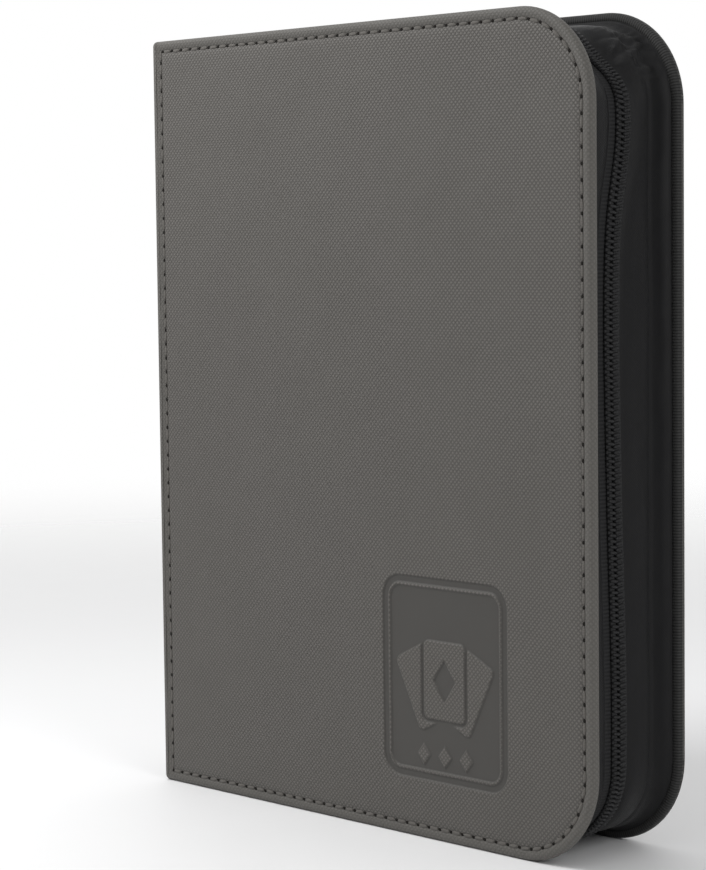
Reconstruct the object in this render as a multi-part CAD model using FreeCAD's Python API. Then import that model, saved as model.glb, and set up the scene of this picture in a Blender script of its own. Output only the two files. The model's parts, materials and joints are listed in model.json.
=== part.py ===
"""Zip-round trading card binder with four-pocket side-loading leaves.

The binder stands upright on its bottom edge. X runs from the spine to the fore edge, Y from the
front cover to the back cover, Z up. The origin is at the bottom, in the middle of the closed
binder. All sizes are in millimetres.

Inside the script a place is given by three numbers that suit a bookbinder:
    u      distance from the spine's outer face towards the fore edge
    depth  distance from the front cover's outer face towards the back cover
    z      height above the bottom edge
An "inset" is a distance in from the covers' outline, measured in the plane of the cover.
"""

import FreeCAD
import Part
import os

from FreeCAD import Vector

# ---------------------------------------------------------------- pockets and leaves
pocket_width = 69.0
pocket_height = 93.0
pocket_entry = 1.5
weld_width = 3.0
weld_height = 4.0
binding_margin = 10.0
free_edge_margin = 3.0
leaf_count = 20
leaf_gap = 0.35
leaf_corner = 3.0
sheet_thickness = 0.25
film_thickness = 0.15
card_gap = 0.35
binding_base = 1.4
binding_overlap = 1.0
fin_thickness = 0.6
fin_length = 3.3
leaf_hinge_gap = 0.3

# ---------------------------------------------------------------- free space round the leaves
fore_margin = 12.5
end_margin = 15.3
face_margin = 0.7

# ---------------------------------------------------------------- cover sandwich
corner_radius = 27.0
skin_thickness = 0.8
foam_thickness = 0.8
board_thickness = 1.5
lining_thickness = 0.5
hem_width = 8.0
edge_rounding = 1.2

# ---------------------------------------------------------------- hinges beside the spine
hinge_radius = 2.5
hinge_gap = 0.3
hinge_bead_gap = 0.4
board_setback = 3.0
gusset_setback = 2.5

# ---------------------------------------------------------------- gusset and zip
overhang = 4.5
gusset_thickness = 0.8
flange_margin = 0.9
front_gusset_depth = 6.4
coil_width = 2.85
coil_height = 2.0
coil_half_gap = 0.65
tape_thickness = 0.4
tape_lap = 4.0
tab_spine_gap = 0.4
end_tab_length = 20.8
end_tab_width = 16.0
end_tab_thickness = 0.5
end_tab_tail = 4.0
stop_length = 1.5
stop_rise = 0.2
tape_lead = 0.8

# ---------------------------------------------------------------- slider and pull
slider_length = 9.5
slider_gap = 0.2
slider_wall = 0.9
slider_plate = 1.0
slider_lower_plate = 0.9
slider_parking_gap = 0.1
slider_tape_gap = 0.3
slider_gusset_gap = 0.9
slider_post_length = 2.0
slider_post_offset = 0.4
slider_corner = 1.5
crown_start = 2.0
crown_length = 5.5
crown_width = 1.8
crown_leg = 1.0
crown_bridge = 0.7
pull_bar_radius = 0.45
pull_play = 0.1
pull_side_gap = 0.25
pull_crown_gap = 0.45
pull_arm_width = 1.0
pull_length = 24.0
pull_width = 6.0
pull_corner = 2.0
pull_hole_radius = 1.3

# ---------------------------------------------------------------- sizes that follow
cover_thickness = skin_thickness + foam_thickness + board_thickness + lining_thickness
spine_thickness = skin_thickness + board_thickness + lining_thickness
skin_start = hinge_radius + hinge_gap
board_start = hinge_radius + board_setback
gusset_start = hinge_radius + gusset_setback
hinge_bead_radius = hinge_radius - skin_thickness - hinge_bead_gap

gusset_inner = overhang + gusset_thickness
tape_inner = gusset_inner + tape_thickness
tab_inner = tape_inner + end_tab_thickness
coil_outer = gusset_inner - coil_height

leaf_thickness = sheet_thickness + 2 * (card_gap + film_thickness)
leaf_pitch = leaf_thickness + leaf_gap
column_pitch = pocket_width + weld_width + pocket_entry
leaf_width = binding_margin + 2 * column_pitch + free_edge_margin
leaf_height = 2 * pocket_height + 3 * weld_height
leaf_start = spine_thickness + binding_base + fin_length + leaf_hinge_gap
leaf_axis = leaf_start - leaf_hinge_gap / 2

cover_width = leaf_start + leaf_width + fore_margin + tape_inner
cover_height = leaf_height + 2 * (end_margin + tape_inner)
stack_start = hinge_radius + hinge_bead_radius + face_margin
closed_thickness = leaf_count * leaf_pitch + 2 * stack_start
back_inside = closed_thickness - cover_thickness
leaf_bottom = (cover_height - leaf_height) / 2

front_wall_end = cover_thickness + front_gusset_depth
slider_half_width = slider_wall + slider_gap + coil_width + coil_half_gap
zip_centre = front_wall_end + slider_gusset_gap + slider_half_width
front_coil = (zip_centre - coil_half_gap - coil_width, zip_centre - coil_half_gap)
back_coil = (zip_centre + coil_half_gap, zip_centre + coil_half_gap + coil_width)
front_tape = (front_wall_end - tape_lap, front_coil[1])
tape_width = front_tape[1] - front_tape[0]
back_tape = (back_coil[0], back_coil[0] + tape_width)
back_wall_start = back_tape[1] - tape_lap

end_tab_start = spine_thickness + tab_spine_gap
end_tab_end = end_tab_start + end_tab_length
zip_start = end_tab_start + tape_lead + stop_length
zip_joined_end = end_tab_end - end_tab_tail
front_zip_start = end_tab_end + tape_lead
slider_start = zip_start + slider_parking_gap
slider_flange_drop = coil_height + slider_gap - slider_tape_gap
crown_window = 2 * (pull_bar_radius + pull_play)
pull_arm_length = crown_length - crown_leg - pull_play - pull_bar_radius + pull_crown_gap

made = {}


# ---------------------------------------------------------------- helpers
def place(u, depth, z):
    """A point of the binder in the part's own frame."""
    return Vector(u - cover_width / 2, depth - closed_thickness / 2, z)


def block(u, depth, z):
    """A box from three (low, high) pairs."""
    size = [high - low for low, high in (u, depth, z)]
    return Part.makeBox(*size, place(u[0], depth[0], z[0]))


def plate(inset, start, depth):
    """A slab with the covers' outline: square at the spine, round at the two fore-edge corners."""
    near, far = depth
    low, high = inset, cover_height - inset
    edge = cover_width - inset
    radius = corner_radius - inset
    turn = cover_width - corner_radius
    middle = radius * 0.5 ** 0.5

    def corner(begin, height, end):
        centre_z = corner_radius if height < 0 else cover_height - corner_radius
        half_way = place(turn + middle, near, centre_z + height * middle)
        return Part.Arc(begin, half_way, end).toShape()

    points = [
        place(start, near, low),
        place(turn, near, low),
        place(edge, near, corner_radius),
        place(edge, near, cover_height - corner_radius),
        place(turn, near, high),
        place(start, near, high),
    ]
    edges = [
        Part.makeLine(points[0], points[1]),
        corner(points[1], -1, points[2]),
        Part.makeLine(points[2], points[3]),
        corner(points[3], 1, points[4]),
        Part.makeLine(points[4], points[5]),
        Part.makeLine(points[5], points[0]),
    ]
    return Part.Face(Part.Wire(edges)).extrude(Vector(0, far - near, 0))


def band(outer, inner, start, depth):
    """A wall round the top, the fore edge and the bottom, open at the spine."""
    return plate(outer, start, depth).cut(plate(inner, start, depth))


def mirrored(depth):
    """The same pair of depths counted from the back cover's outer face."""
    return (closed_thickness - depth[1], closed_thickness - depth[0])


def same(depth):
    """The pair of depths as it is, for the front cover."""
    return depth


def at_both_ends(shape):
    """A piece on the top run of the zip with its copy on the bottom run."""
    middle = Vector(0, 0, cover_height / 2)
    return Part.makeCompound([shape, shape.mirror(middle, Vector(0, 0, 1))])


def from_top(outer, inner):
    """The two heights of a layer on the top run, given by its outer and inner inset."""
    return (cover_height - inner, cover_height - outer)


def keep(name, shape):
    """Stores a piece under its node name, after checking that its solids are sound."""
    clean = shape.removeSplitter() if len(shape.Solids) == 1 else shape
    for solid in clean.Solids:
        assert solid.isValid() and solid.Volume > 0, name
    made[name] = clean


# ---------------------------------------------------------------- covers
def cover_skin(side):
    """The outer skin: one sheet turned over three edges, with a hem on the inside."""
    full = plate(0, skin_start, side((0, cover_thickness)))
    outer_planes = [place(0, depth, 0).y for depth in side((0, cover_thickness))]
    spine_line = place(skin_start, 0, 0).x
    rim = [
        edge
        for edge in full.Edges
        if any(abs(edge.BoundBox.YMin - y) < 1e-6 for y in outer_planes)
        and edge.BoundBox.YLength < 1e-6
        and edge.BoundBox.XMax > spine_line + 1e-6
    ]
    full = full.makeFillet(edge_rounding, rim)
    under_lining = cover_thickness - lining_thickness
    pocket = plate(skin_thickness, board_start, side((skin_thickness, under_lining)))
    mouth = plate(hem_width, board_start, side((under_lining, cover_thickness)))
    hinge_strip = block(
        (0, board_start),
        side((skin_thickness, cover_thickness)),
        (0, cover_height),
    )
    return full.cut(pocket).cut(mouth).cut(hinge_strip)


def add_cover(prefix, side):
    """Skin, padding, stiffener board and lining of one cover."""
    foam_end = skin_thickness + foam_thickness
    board_end = foam_end + board_thickness
    keep(prefix + "_cover_skin", cover_skin(side))
    keep(prefix + "_cover_foam", plate(skin_thickness, board_start, side((skin_thickness, foam_end))))
    keep(prefix + "_cover_board", plate(skin_thickness, board_start, side((foam_end, board_end))))
    keep(prefix + "_cover_lining", plate(hem_width, board_start, side((board_end, cover_thickness))))


# ---------------------------------------------------------------- spine
def hinge_tape(side):
    """The reinforcing tape in one crease: a bead on the hinge's axis with a tail along the spine."""
    axis_depth = side((hinge_radius, hinge_radius))[0]
    low = skin_thickness
    bead = Part.makeCylinder(
        hinge_bead_radius, cover_height - 2 * low, place(hinge_radius, axis_depth, low), Vector(0, 0, 1)
    )
    tail = block(
        (skin_thickness, 2 * skin_thickness),
        side((hinge_radius, board_start)),
        (low, cover_height - low),
    )
    return bead.fuse(tail)


def add_spine():
    """The spine's skin, board and lining, and a hinge tape in each crease."""
    edges = (skin_start, closed_thickness - skin_start)
    board_edges = (board_start, closed_thickness - board_start)
    skin = block((0, skin_thickness), edges, (0, cover_height))
    for low in (0, cover_height - skin_thickness):
        turned_end = (skin_thickness, spine_thickness)
        skin = skin.fuse(block(turned_end, board_edges, (low, low + skin_thickness)))
    ends = [
        edge
        for edge in skin.removeSplitter().Edges
        if edge.BoundBox.XMax < place(0, 0, 0).x + 1e-6 and edge.BoundBox.ZLength < 1e-6
    ]
    skin = skin.removeSplitter().makeFillet(skin_thickness / 2, ends)
    inside = (skin_thickness, cover_height - skin_thickness)
    board_end = skin_thickness + board_thickness
    keep("spine_skin", skin)
    keep("spine_board", block((skin_thickness, board_end), board_edges, inside))
    keep("spine_lining", block((board_end, spine_thickness), board_edges, inside))
    keep("front_hinge_tape", hinge_tape(same))
    keep("back_hinge_tape", hinge_tape(mirrored))


# ---------------------------------------------------------------- gusset and zip
def gusset(flange, wall):
    """An L-section strip: a flange sewn under the cover's edge and a wall between the covers."""
    foot = band(flange_margin, gusset_inner, gusset_start, flange)
    return foot.fuse(band(overhang, gusset_inner, gusset_start, wall))


def add_gusset():
    """The two gusset strips, the two zip tapes and the two halves of the coil."""
    front_flange = (cover_thickness, cover_thickness + gusset_thickness)
    keep("front_gusset", gusset(front_flange, (cover_thickness, front_wall_end)))
    keep("back_gusset", gusset(mirrored(front_flange), (back_wall_start, back_inside)))
    keep("front_zip_tape", band(gusset_inner, tape_inner, front_zip_start, front_tape))
    keep("back_zip_tape", band(gusset_inner, tape_inner, end_tab_start, back_tape))
    keep("front_zip_coil", band(coil_outer, gusset_inner, front_zip_start, front_coil))
    keep("back_zip_coil", band(coil_outer, gusset_inner, zip_start, back_coil))


def add_zip_ends():
    """What stays joined beside the spine: end tabs, the last coil turns and the end stops."""
    reach = (end_tab_start, end_tab_end)
    across = (zip_centre - end_tab_width / 2, zip_centre + end_tab_width / 2)
    tab = block(reach, across, from_top(tape_inner, tab_inner))
    slot = block(
        (zip_start, reach[1]),
        (front_coil[1], back_coil[0]),
        from_top(tape_inner, tab_inner),
    )
    tape_end = block((end_tab_start, zip_joined_end), front_coil, from_top(gusset_inner, tape_inner))
    tab = tab.cut(slot).fuse(tape_end)
    middle = Vector(0, 0, cover_height / 2)
    keep("zip_end_tab_top", tab)
    keep("zip_end_tab_bottom", tab.mirror(middle, Vector(0, 0, 1)))
    coil_end = block((zip_start, zip_joined_end), front_coil, from_top(coil_outer, gusset_inner))
    keep("zip_joined_coil_ends", at_both_ends(coil_end))
    stop = block(
        (zip_start - stop_length, zip_start),
        back_coil,
        from_top(coil_outer - stop_rise, gusset_inner),
    )
    keep("zip_end_stops", at_both_ends(stop))


# ---------------------------------------------------------------- slider and pull
def rounded_plate(u, depth, z, radius):
    """A flat plate with its four upright corners rounded."""
    slab = block(u, depth, z)
    upright = [edge for edge in slab.Edges if edge.BoundBox.ZLength > 1e-6]
    return slab.makeFillet(radius, upright)


def add_slider():
    """A cast slider astride both halves of the coil, with its crown and pull tab."""
    u = (slider_start, slider_start + slider_length)
    inside = (front_coil[0] - slider_gap, back_coil[1] + slider_gap)
    across = (inside[0] - slider_wall, inside[1] + slider_wall)
    roof_inset = coil_outer - slider_gap
    top_inset = roof_inset - slider_plate
    floor_inset = tab_inner + slider_gap

    body = rounded_plate(u, across, from_top(top_inset, roof_inset), slider_corner)
    lower_inset = floor_inset + slider_lower_plate
    body = body.fuse(rounded_plate(u, across, from_top(floor_inset, lower_inset), slider_corner))
    flange_run = (u[0] + slider_corner, u[1] - slider_corner)
    flange_levels = from_top(roof_inset, roof_inset + slider_flange_drop)
    for low in (across[0], inside[1]):
        body = body.fuse(block(flange_run, (low, low + slider_wall), flange_levels))
    post_start = u[0] + slider_post_offset
    body = body.fuse(
        block(
            (post_start, post_start + slider_post_length),
            (front_coil[1] + slider_gap, back_coil[0] - slider_gap),
            from_top(roof_inset, floor_inset),
        )
    )
    keep("zip_slider_body", body)

    crown_u = (u[0] + crown_start, u[0] + crown_start + crown_length)
    crown_depth = (zip_centre - crown_width / 2, zip_centre + crown_width / 2)
    crown_top = top_inset - crown_window - crown_bridge
    crown = block(crown_u, crown_depth, from_top(crown_top, top_inset))
    brow = [
        edge
        for edge in crown.Edges
        if edge.BoundBox.YLength > 1e-6 and edge.BoundBox.ZMin > cover_height - crown_top - 1e-6
    ]
    crown = crown.makeFillet(crown_bridge, brow)
    window_u = (crown_u[0] + crown_leg, crown_u[1] - crown_leg)
    crown = crown.cut(block(window_u, crown_depth, from_top(top_inset - crown_window, top_inset)))
    keep("zip_slider_crown", crown)

    bar_u = window_u[1] - pull_bar_radius - pull_play
    bar_inset = top_inset - crown_window / 2
    levels = from_top(bar_inset - pull_bar_radius, bar_inset + pull_bar_radius)
    arm_near = crown_width / 2 + pull_side_gap
    arm_far = arm_near + pull_arm_width
    bar_start = place(bar_u, zip_centre - arm_far, cover_height - bar_inset)
    pull = Part.makeCylinder(pull_bar_radius, 2 * arm_far, bar_start, Vector(0, 1, 0))
    plate_start = bar_u + pull_arm_length
    for low in (zip_centre - arm_far, zip_centre + arm_near):
        pull = pull.fuse(block((bar_u, plate_start + pull_corner), (low, low + pull_arm_width), levels))
    pull_depth = (zip_centre - pull_width / 2, zip_centre + pull_width / 2)
    tab = rounded_plate((plate_start, plate_start + pull_length), pull_depth, levels, pull_corner)
    hole_centre = place(plate_start + pull_length - pull_width / 2, zip_centre, levels[0])
    hole_height = levels[1] - levels[0]
    hole = Part.makeCylinder(pull_hole_radius, hole_height, hole_centre, Vector(0, 0, 1))
    keep("zip_pull_tab", pull.fuse(tab.cut(hole)))
    return bar_u, bar_inset


# ---------------------------------------------------------------- leaves
def leaf_depth(number):
    """The depth of a leaf's middle plane; leaf 1 is next to the front cover."""
    middle = closed_thickness / 2
    return middle + (number - (leaf_count + 1) / 2) * leaf_pitch


def leaf_sheet(depth):
    """The opaque sheet in the middle of a leaf, with its two free corners cut off."""
    half = sheet_thickness / 2
    low, high = leaf_bottom, leaf_bottom + leaf_height
    far = leaf_start + leaf_width
    outline = [
        (leaf_start, low),
        (far - leaf_corner, low),
        (far, low + leaf_corner),
        (far, high - leaf_corner),
        (far - leaf_corner, high),
        (leaf_start, high),
        (leaf_start, low),
    ]
    wire = Part.makePolygon([place(u, depth - half, z) for u, z in outline])
    return Part.Face(wire).extrude(Vector(0, sheet_thickness, 0))


def pocket_face(depth, way):
    """One face's two pocket films, each welded to the sheet; way is -1 for the front, 1 for the back."""

    def layer(start, thickness):
        near, far = sorted((depth + way * start, depth + way * (start + thickness)))
        return (near, far)

    seam = layer(sheet_thickness / 2, card_gap)
    film = layer(sheet_thickness / 2 + card_gap, film_thickness)
    low, high = leaf_bottom, leaf_bottom + leaf_height
    middle = (low + high) / 2
    rows = [
        (low, low + weld_height),
        (middle - weld_height / 2, middle + weld_height / 2),
        (high - weld_height, high),
    ]
    pieces = []
    for column in range(2):
        begin = leaf_start + binding_margin + column * column_pitch
        end = begin + column_pitch - pocket_entry
        seam_start = end - weld_width
        welds = [block((seam_start, end), seam, (low, high))]
        welds.extend(block((begin, seam_start), seam, row) for row in rows)
        pocket = block((begin, end), film, (low, high)).multiFuse(welds)
        pieces.append(pocket.removeSplitter().Solids[0])
    return pieces


def add_leaves():
    """Every leaf as a sheet with four pockets on each face, and the binding that holds them."""
    for number in range(1, leaf_count + 1):
        depth = leaf_depth(number)
        solids = [leaf_sheet(depth)] + pocket_face(depth, -1) + pocket_face(depth, 1)
        keep(f"leaf_{number:02d}", Part.makeCompound(solids))

    span = (leaf_depth(1) - leaf_pitch / 2, leaf_depth(leaf_count) + leaf_pitch / 2)
    base_u = (spine_thickness, spine_thickness + binding_base)
    base_z = (leaf_bottom - binding_overlap, leaf_bottom + leaf_height + binding_overlap)
    binding = block(base_u, span, base_z)
    fins = []
    for number in range(1, leaf_count + 1):
        depth = leaf_depth(number)
        thick = (depth - fin_thickness / 2, depth + fin_thickness / 2)
        reach = (base_u[1], base_u[1] + fin_length)
        fins.append(block(reach, thick, (leaf_bottom, leaf_bottom + leaf_height)))
    keep("page_binding", binding.multiFuse(fins))


# ---------------------------------------------------------------- build
add_cover("front", same)
add_cover("back", mirrored)
add_spine()
add_gusset()
add_zip_ends()
pull_axis = add_slider()
add_leaves()

os.makedirs("parts", exist_ok=True)
for name, shape in made.items():
    shape.exportStep(f"parts/{name}.step")

front_axis = place(hinge_radius, hinge_radius, 0)
back_axis = place(hinge_radius, closed_thickness - hinge_radius, 0)
slide_limit = cover_width - corner_radius - slider_start - slider_length
print("pieces", len(made), "solids", sum(len(s.Solids) for s in made.values()))
print("front hinge axis", front_axis.x, front_axis.y)
print("back hinge axis", back_axis.x, back_axis.y)
print("leaf axes: x", place(leaf_axis, 0, 0).x, "y of leaf 1", place(0, leaf_depth(1), 0).y)
print("slider travel", slide_limit)
print("pull axis x", place(pull_axis[0], 0, 0).x, "y", place(0, zip_centre, 0).y, "z", cover_height - pull_axis[1])
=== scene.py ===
# %% [markdown]
# # A zip-round card binder
#
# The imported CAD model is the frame: it says where every part is and how it moves. This lesson builds the
# visible skin of the binder around that frame, one family of pieces at a time: padded leatherette covers
# with a stitched border, a soft black gusset, a coil zip that wanders a little, and leaves of card pockets.
# Everything is in metres and in the CAD model's own frame.

import json
import math

import bmesh
import bpy
import numpy as np
from mathutils import Matrix, Vector, noise as fractal_noise


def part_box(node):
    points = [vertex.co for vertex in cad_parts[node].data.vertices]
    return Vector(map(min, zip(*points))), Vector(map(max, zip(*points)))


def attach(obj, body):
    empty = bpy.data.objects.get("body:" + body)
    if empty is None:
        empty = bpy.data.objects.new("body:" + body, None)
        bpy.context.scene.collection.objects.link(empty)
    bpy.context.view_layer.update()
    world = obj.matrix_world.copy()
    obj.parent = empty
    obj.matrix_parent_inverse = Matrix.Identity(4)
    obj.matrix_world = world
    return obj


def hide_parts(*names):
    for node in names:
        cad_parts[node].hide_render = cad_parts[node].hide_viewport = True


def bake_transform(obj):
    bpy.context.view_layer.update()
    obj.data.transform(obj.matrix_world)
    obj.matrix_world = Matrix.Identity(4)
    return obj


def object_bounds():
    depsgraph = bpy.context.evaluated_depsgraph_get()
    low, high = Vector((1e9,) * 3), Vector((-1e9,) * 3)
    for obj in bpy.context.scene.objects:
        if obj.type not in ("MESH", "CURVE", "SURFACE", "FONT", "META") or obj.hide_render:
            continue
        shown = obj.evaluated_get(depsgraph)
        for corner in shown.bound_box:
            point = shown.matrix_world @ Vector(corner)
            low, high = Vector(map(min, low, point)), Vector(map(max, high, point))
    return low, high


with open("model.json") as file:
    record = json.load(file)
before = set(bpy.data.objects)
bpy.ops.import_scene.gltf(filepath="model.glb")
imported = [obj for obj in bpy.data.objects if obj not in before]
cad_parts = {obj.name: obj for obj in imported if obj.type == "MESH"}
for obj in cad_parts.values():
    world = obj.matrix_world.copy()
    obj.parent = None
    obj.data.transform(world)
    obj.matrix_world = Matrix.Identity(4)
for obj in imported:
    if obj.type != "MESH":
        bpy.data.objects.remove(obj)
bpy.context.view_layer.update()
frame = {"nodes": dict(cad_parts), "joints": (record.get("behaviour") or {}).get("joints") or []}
MM = 0.001

# %% [markdown]
# ## Sizes that come from the frame
#
# On the real binder everything follows the covers' outline, so a place is given here by an inset from that
# outline, a depth behind the front cover's outer face, and a run: the distance travelled round the bottom,
# the fore edge and the top. The numbers could be typed in, but reading them from the frame's boxes keeps the
# skin on the CAD when a size changes. Only the corner radius can't be read from a box.

# %% Read the frame
LOW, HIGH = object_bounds()
LEFT, RIGHT, FRONT, BACK, TOP = LOW.x, HIGH.x, LOW.y, HIGH.y, HIGH.z
THICK = BACK - FRONT
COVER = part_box("front_cover_skin")[1].y - FRONT
SKIN_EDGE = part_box("front_cover_skin")[0].x
CORNER = 27 * MM
TAPE_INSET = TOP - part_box("front_zip_tape")[1].z
COIL_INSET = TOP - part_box("front_zip_coil")[1].z
ZIP_CENTRE = (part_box("front_zip_coil")[1].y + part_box("back_zip_coil")[0].y) / 2 - FRONT
FRONT_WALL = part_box("front_gusset")[1].y - FRONT
BACK_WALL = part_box("back_gusset")[0].y - FRONT
JOINTS = {joint["name"]: joint for joint in frame["joints"]}
FRONT_HINGE = Vector(JOINTS["front_cover_hinge"]["pos_m"])
BACK_HINGE = Vector(JOINTS["spine_hinge"]["pos_m"])
print("closed size in mm", [round(1000 * v, 1) for v in (RIGHT - LEFT, THICK, TOP)])
print("zip centre in mm behind the front face", round(1000 * ZIP_CENTRE, 2))

# %% [markdown]
# ## Paths round the binder
#
# Gusset, tapes and coil all run round the three open edges, and the covers' rims and stitches run right
# round a cover. A curve object with a bevel could carry such a piece, but its profile can't change on the
# way. So `rail` gives the points of the open path and `ring` the closed one, and the pieces are swept along
# them. A ring has a separate inset for its spine side.

# %% Even steps and smooth noise
ARC_STEP = 0.8 * MM
CORNER_POINTS = 20


def fractal(place):
    """Smooth noise from about -1 to 1."""
    return fractal_noise.fractal(place, 0.9, 2.1, 3)


def spread(start, end, step, closed=False):
    """Evenly spaced values no more than step apart; the end value is left out unless closed is true."""
    count = max(1, math.ceil(abs(end - start) / step))
    return np.linspace(start, end, count + 1)[: count + 1 if closed else count]


print("steps of 4 mm up the fore edge", len(spread(CORNER, TOP - CORNER, 4 * MM)))


# %% The rail round the open edges
def rail(start_x, step):
    """Base points, outward normals and run lengths round the bottom, fore edge and top."""
    turn = RIGHT - CORNER
    arc = CORNER * math.pi / 2
    rows = [(x, 0.0, 0.0, -1.0, x - start_x) for x in spread(start_x, turn, step)]
    begin = turn - start_x
    for s in spread(0, arc, min(step, ARC_STEP)):
        a = s / CORNER
        n = (math.sin(a), -math.cos(a))
        rows.append((turn + CORNER * n[0], CORNER + CORNER * n[1], *n, begin + s))
    begin += arc
    rows += [(RIGHT, z, 1.0, 0.0, begin + z - CORNER) for z in spread(CORNER, TOP - CORNER, step)]
    begin += TOP - 2 * CORNER
    for s in spread(0, arc, min(step, ARC_STEP)):
        a = s / CORNER
        n = (math.cos(a), math.sin(a))
        rows.append((turn + CORNER * n[0], TOP - CORNER + CORNER * n[1], *n, begin + s))
    begin += arc
    rows += [(x, TOP, 0.0, 1.0, begin + turn - x) for x in spread(turn, start_x, step, closed=True)]
    return np.array(rows)


def rail_point(row, inset, depth):
    """The place at one row of a rail, inset from the outline and behind the front face."""
    return Vector((row[0] - row[2] * inset, FRONT + depth, row[1] - row[3] * inset))


print("round the open edges in mm", round(1000 * rail(SKIN_EDGE, 4 * MM)[-1, 4], 1))


# %% The ring round one cover
def ring(inset, spine_inset, left=None, step=4 * MM):
    """A closed loop round a cover. Its number of points doesn't depend on the insets."""
    left = SKIN_EDGE if left is None else left
    turn = RIGHT - CORNER
    long_count = math.ceil((turn - left) / step)
    tall_count = math.ceil((TOP - 2 * CORNER) / step)
    spine_count = math.ceil(TOP / step)
    near = left + spine_inset
    radius = CORNER - inset
    points = [(x, inset) for x in np.linspace(near, turn, long_count, endpoint=False)]
    angles = np.linspace(0, math.pi / 2, CORNER_POINTS, endpoint=False)
    points += [(turn + radius * math.sin(a), CORNER - radius * math.cos(a)) for a in angles]
    points += [(RIGHT - inset, z) for z in np.linspace(CORNER, TOP - CORNER, tall_count, endpoint=False)]
    points += [(turn + radius * math.cos(a), TOP - CORNER + radius * math.sin(a)) for a in angles]
    points += [(x, TOP - inset) for x in np.linspace(turn, near, long_count, endpoint=False)]
    points += [(near, z) for z in np.linspace(TOP - inset, inset, spine_count, endpoint=False)]
    return np.array(points)


def run_of(points):
    """Distance travelled along a closed loop up to each of its points."""
    steps = np.linalg.norm(np.roll(points, -1, axis=0) - points, axis=1)
    return np.concatenate([[0.0], np.cumsum(steps)[:-1]]), float(steps.sum())


print("right round a cover in mm", round(1000 * run_of(ring(0, 0))[1], 1))

# %% [markdown]
# ## Sweeping a sheet
#
# Cloth and leatherette are sheets, so most pieces are one row of vertices extruded from station to station.
# A grid bent afterwards would do too, but a sweep gives each station its own path. It also writes a `cloth`
# attribute on the way: where each vertex would lie, in millimetres, if the material were laid out flat. The
# `edge` attribute is the distance from a cover's edge, and `press` says how far the emblem is pushed in.

# %% A mesh and its attributes
WELL_INSIDE = 20.0


def new_mesh():
    """An empty bmesh and its layers."""
    bm = bmesh.new()
    layers = {
        "index": bm.verts.layers.int.new("index"),
        "cloth": bm.verts.layers.float_vector.new("cloth"),
        "edge": bm.verts.layers.float.new("edge"),
        "press": bm.verts.layers.float.new("press"),
    }
    return bm, layers


def made(bm, name, *materials, smooth=True, outward=True):
    """Turns a bmesh into a finished object at the origin."""
    if outward:
        bmesh.ops.recalc_face_normals(bm, faces=bm.faces)
    mesh = bpy.data.meshes.new(name)
    bm.to_mesh(mesh)
    bm.free()
    if smooth:
        mesh.shade_smooth()
    obj = bpy.data.objects.new(name, mesh)
    bpy.context.scene.collection.objects.link(obj)
    for material in materials:
        mesh.materials.append(material)
    return obj


# %% Extrude from station to station
def extrude_row(bm, layers, edges, place, cloth, station):
    """Extrudes a row of edges and puts each new vertex where the next station wants it."""
    geometry = bmesh.ops.extrude_edge_only(bm, edges=edges)["geom"]
    verts = {g for g in geometry if isinstance(g, bmesh.types.BMVert)}
    for v in verts:
        i = v[layers["index"]]
        v.co = place(i, station)
        v[layers["cloth"]] = cloth(i, station)
    return [g for g in geometry if isinstance(g, bmesh.types.BMEdge) and set(g.verts) <= verts]


def sweep(count, stations, place, cloth, closed=False, edge=None):
    """A surface made by extruding one row of vertices from station to station."""
    bm, layers = new_mesh()
    row = [bm.verts.new(place(i, 0)) for i in range(count)]
    for i, v in enumerate(row):
        v[layers["index"]] = i
        v[layers["cloth"]] = cloth(i, 0)
    pairs = list(zip(row, row[1:])) + ([(row[-1], row[0])] if closed else [])
    first = edges = [bm.edges.new(pair) for pair in pairs]
    for station in range(1, stations):
        edges = extrude_row(bm, layers, edges, place, cloth, station)
        if edge:
            for e in edges:
                for v in e.verts:
                    v[layers["edge"]] = edge(station)
    if edge:
        for v in row:
            v[layers["edge"]] = edge(0)
    return bm, layers, first, edges


sample, sample_layers = new_mesh()
print("a swept mesh carries", list(sample_layers))
sample.free()

# %% [markdown]
# ## Materials
#
# The binder is nearly all black cloth and grey-brown leatherette, told apart by their patterns. A painted
# map could hold those, but it would stretch round the folds. Every material here is a small node tree whose
# pattern reads the `cloth` attribute, so it follows each piece round its folds and doesn't slip when the
# binder opens. Moulded parts have no such attribute and read their own object coordinates.

# %% Node helpers
def new_material(name):
    material = bpy.data.materials.new(name)
    material.use_nodes = True
    tree = material.node_tree
    return material, tree, tree.nodes["Principled BSDF"]


def put(tree, socket, value):
    """Links a socket, or sets a constant, on an input."""
    if isinstance(value, bpy.types.NodeSocket):
        tree.links.new(value, socket)
    else:
        socket.default_value = value


def calc(tree, operation, *values, clamp=False):
    """One Math node."""
    n = tree.nodes.new("ShaderNodeMath")
    n.operation = operation
    n.use_clamp = clamp
    for socket, value in zip(n.inputs, values):
        put(tree, socket, value)
    return n.outputs[0]


def attribute(tree, name):
    """Reads one of a mesh's own attributes."""
    n = tree.nodes.new("ShaderNodeAttribute")
    n.attribute_name = name
    return n


def noise(tree, vector, scale, detail=3.0, roughness=0.5):
    """Cloudy noise from 0 to 1."""
    n = tree.nodes.new("ShaderNodeTexNoise")
    put(tree, n.inputs["Vector"], vector)
    n.inputs["Scale"].default_value = scale
    n.inputs["Detail"].default_value = detail
    n.inputs["Roughness"].default_value = roughness
    return n.outputs["Fac"]


def mix(tree, factor, first, second):
    """Blends two colours."""
    n = tree.nodes.new("ShaderNodeMix")
    n.data_type = "RGBA"
    put(tree, n.inputs[0], factor)
    for socket, value in ((n.inputs[6], first), (n.inputs[7], second)):
        put(tree, socket, value if isinstance(value, bpy.types.NodeSocket) else (*value, 1.0))
    return n.outputs[2]


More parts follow.
